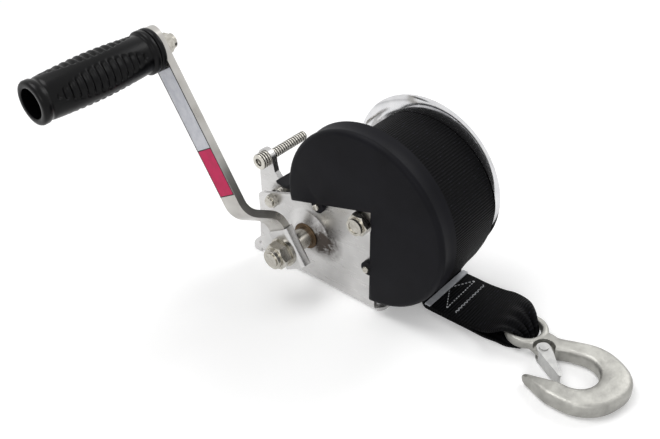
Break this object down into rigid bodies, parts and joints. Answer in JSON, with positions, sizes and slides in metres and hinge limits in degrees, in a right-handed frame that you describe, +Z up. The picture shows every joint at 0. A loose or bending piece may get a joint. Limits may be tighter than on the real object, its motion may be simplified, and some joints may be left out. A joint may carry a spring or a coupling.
{
  "type": "boat trailer winch",
  "caption": "Hand-cranked geared strap winch with a folded sheet frame, gear cover, cranked handle, ratchet pawl, webbing and a snap hook.",
  "frame": {"origin": "centre of the four bolt holes, on the underside of the base", "axes": "+Z up away from the base, +X along the drum's axis away from the crank, -Y the way the strap leaves"},
  "size_m": [0.2399, 0.3578, 0.2153],
  "materials": {
    "frame_steel": "brushed stainless sheet",
    "fastener_steel": "bright machined stainless",
    "zinc_steel": "zinc plated",
    "gear_zinc": "zinc plated teeth",
    "flange_steel": "polished stainless",
    "shaft_steel": "machined steel",
    "pawl_steel": "satin stainless plate",
    "spring_steel": "drawn spring wire",
    "hook_zinc": "zinc plated forging",
    "latch_zinc": "zinc plated sheet",
    "bush_bronze": "sintered bronze",
    "cover_plastic": "moulded black plastic",
    "grip_plastic": "moulded black plastic",
    "webbing": "woven black polyester webbing"
  },
  "bodies": {
    "frame": {"frame": "frame_steel", "gear_cover": "cover_plastic", "cover_screws": "fastener_steel", "axle_sleeve": "zinc_steel", "drum_bolt": "fastener_steel", "drum_washer": "fastener_steel", "drum_nut": "fastener_steel", "shaft_bush": "bush_bronze", "pawl_bolt": "fastener_steel", "pawl_nut": "fastener_steel", "pawl_spring": "spring_steel", "strap_tail": "webbing", "strap_clip": "fastener_steel"},
    "drum": {"drum_gear": "gear_zinc", "near_flange": "flange_steel", "far_flange": "flange_steel", "drum_tube": "zinc_steel", "near_bush": "bush_bronze", "far_bush": "bush_bronze", "gear_rivets": "zinc_steel", "strap_anchor": "fastener_steel", "strap_roll": "webbing"},
    "crank": {"pinion_shaft": "shaft_steel", "ratchet_wheel": "gear_zinc", "handle_socket": "frame_steel", "crank_arm": "frame_steel", "crank_washer": "fastener_steel", "crank_nut": "fastener_steel", "grip_bolt": "fastener_steel", "grip_nut": "fastener_steel"},
    "grip": {"grip": "grip_plastic"},
    "pawl": {"pawl": "pawl_steel", "thumb_bolt": "fastener_steel"},
    "hook": {"hook": "hook_zinc", "latch_rivet": "zinc_steel", "latch_spring": "spring_steel"},
    "latch": {"hook_latch": "latch_zinc"}
  },
  "joints": [
    {"name": "drum_spin", "type": "hinge", "parent": "frame", "child": "drum", "pos_m": [0, -0.0575, 0.082], "axis": [1, 0, 0], "continuous": true},
    {"name": "crank_spin", "type": "hinge", "parent": "frame", "child": "crank", "pos_m": [0, -0.00196, 0.04634], "axis": [1, 0, 0], "continuous": true},
    {"name": "grip_spin", "type": "hinge", "parent": "crank", "child": "grip", "pos_m": [-0.14, 0.08395, 0.19881], "axis": [1, 0, 0], "continuous": true},
    {"name": "pawl_tilt", "type": "hinge", "parent": "frame", "child": "pawl", "pos_m": [-0.0278, 0.0355, 0.0625], "axis": [1, 0, 0], "range_deg": [0, 8], "stiffness_Nm_per_rad": 0.6, "springref_deg": -2.86},
    {"name": "hook_swing", "type": "hinge", "parent": "frame", "child": "hook", "pos_m": [0.0032, -0.15875, 0.0085], "axis": [-1, 0, 0], "range_deg": [0, 50]},
    {"name": "latch_swing", "type": "hinge", "parent": "hook", "child": "latch", "pos_m": [-0.00732, -0.19212, 0.0065], "axis": [0, 0, 1], "range_deg": [0, 18], "stiffness_Nm_per_rad": 0.05, "springref_deg": -17.19}
  ],
  "couplings": [
    {"joint": "crank_spin", "follows": "drum_spin", "ratio": -5}
  ]
}
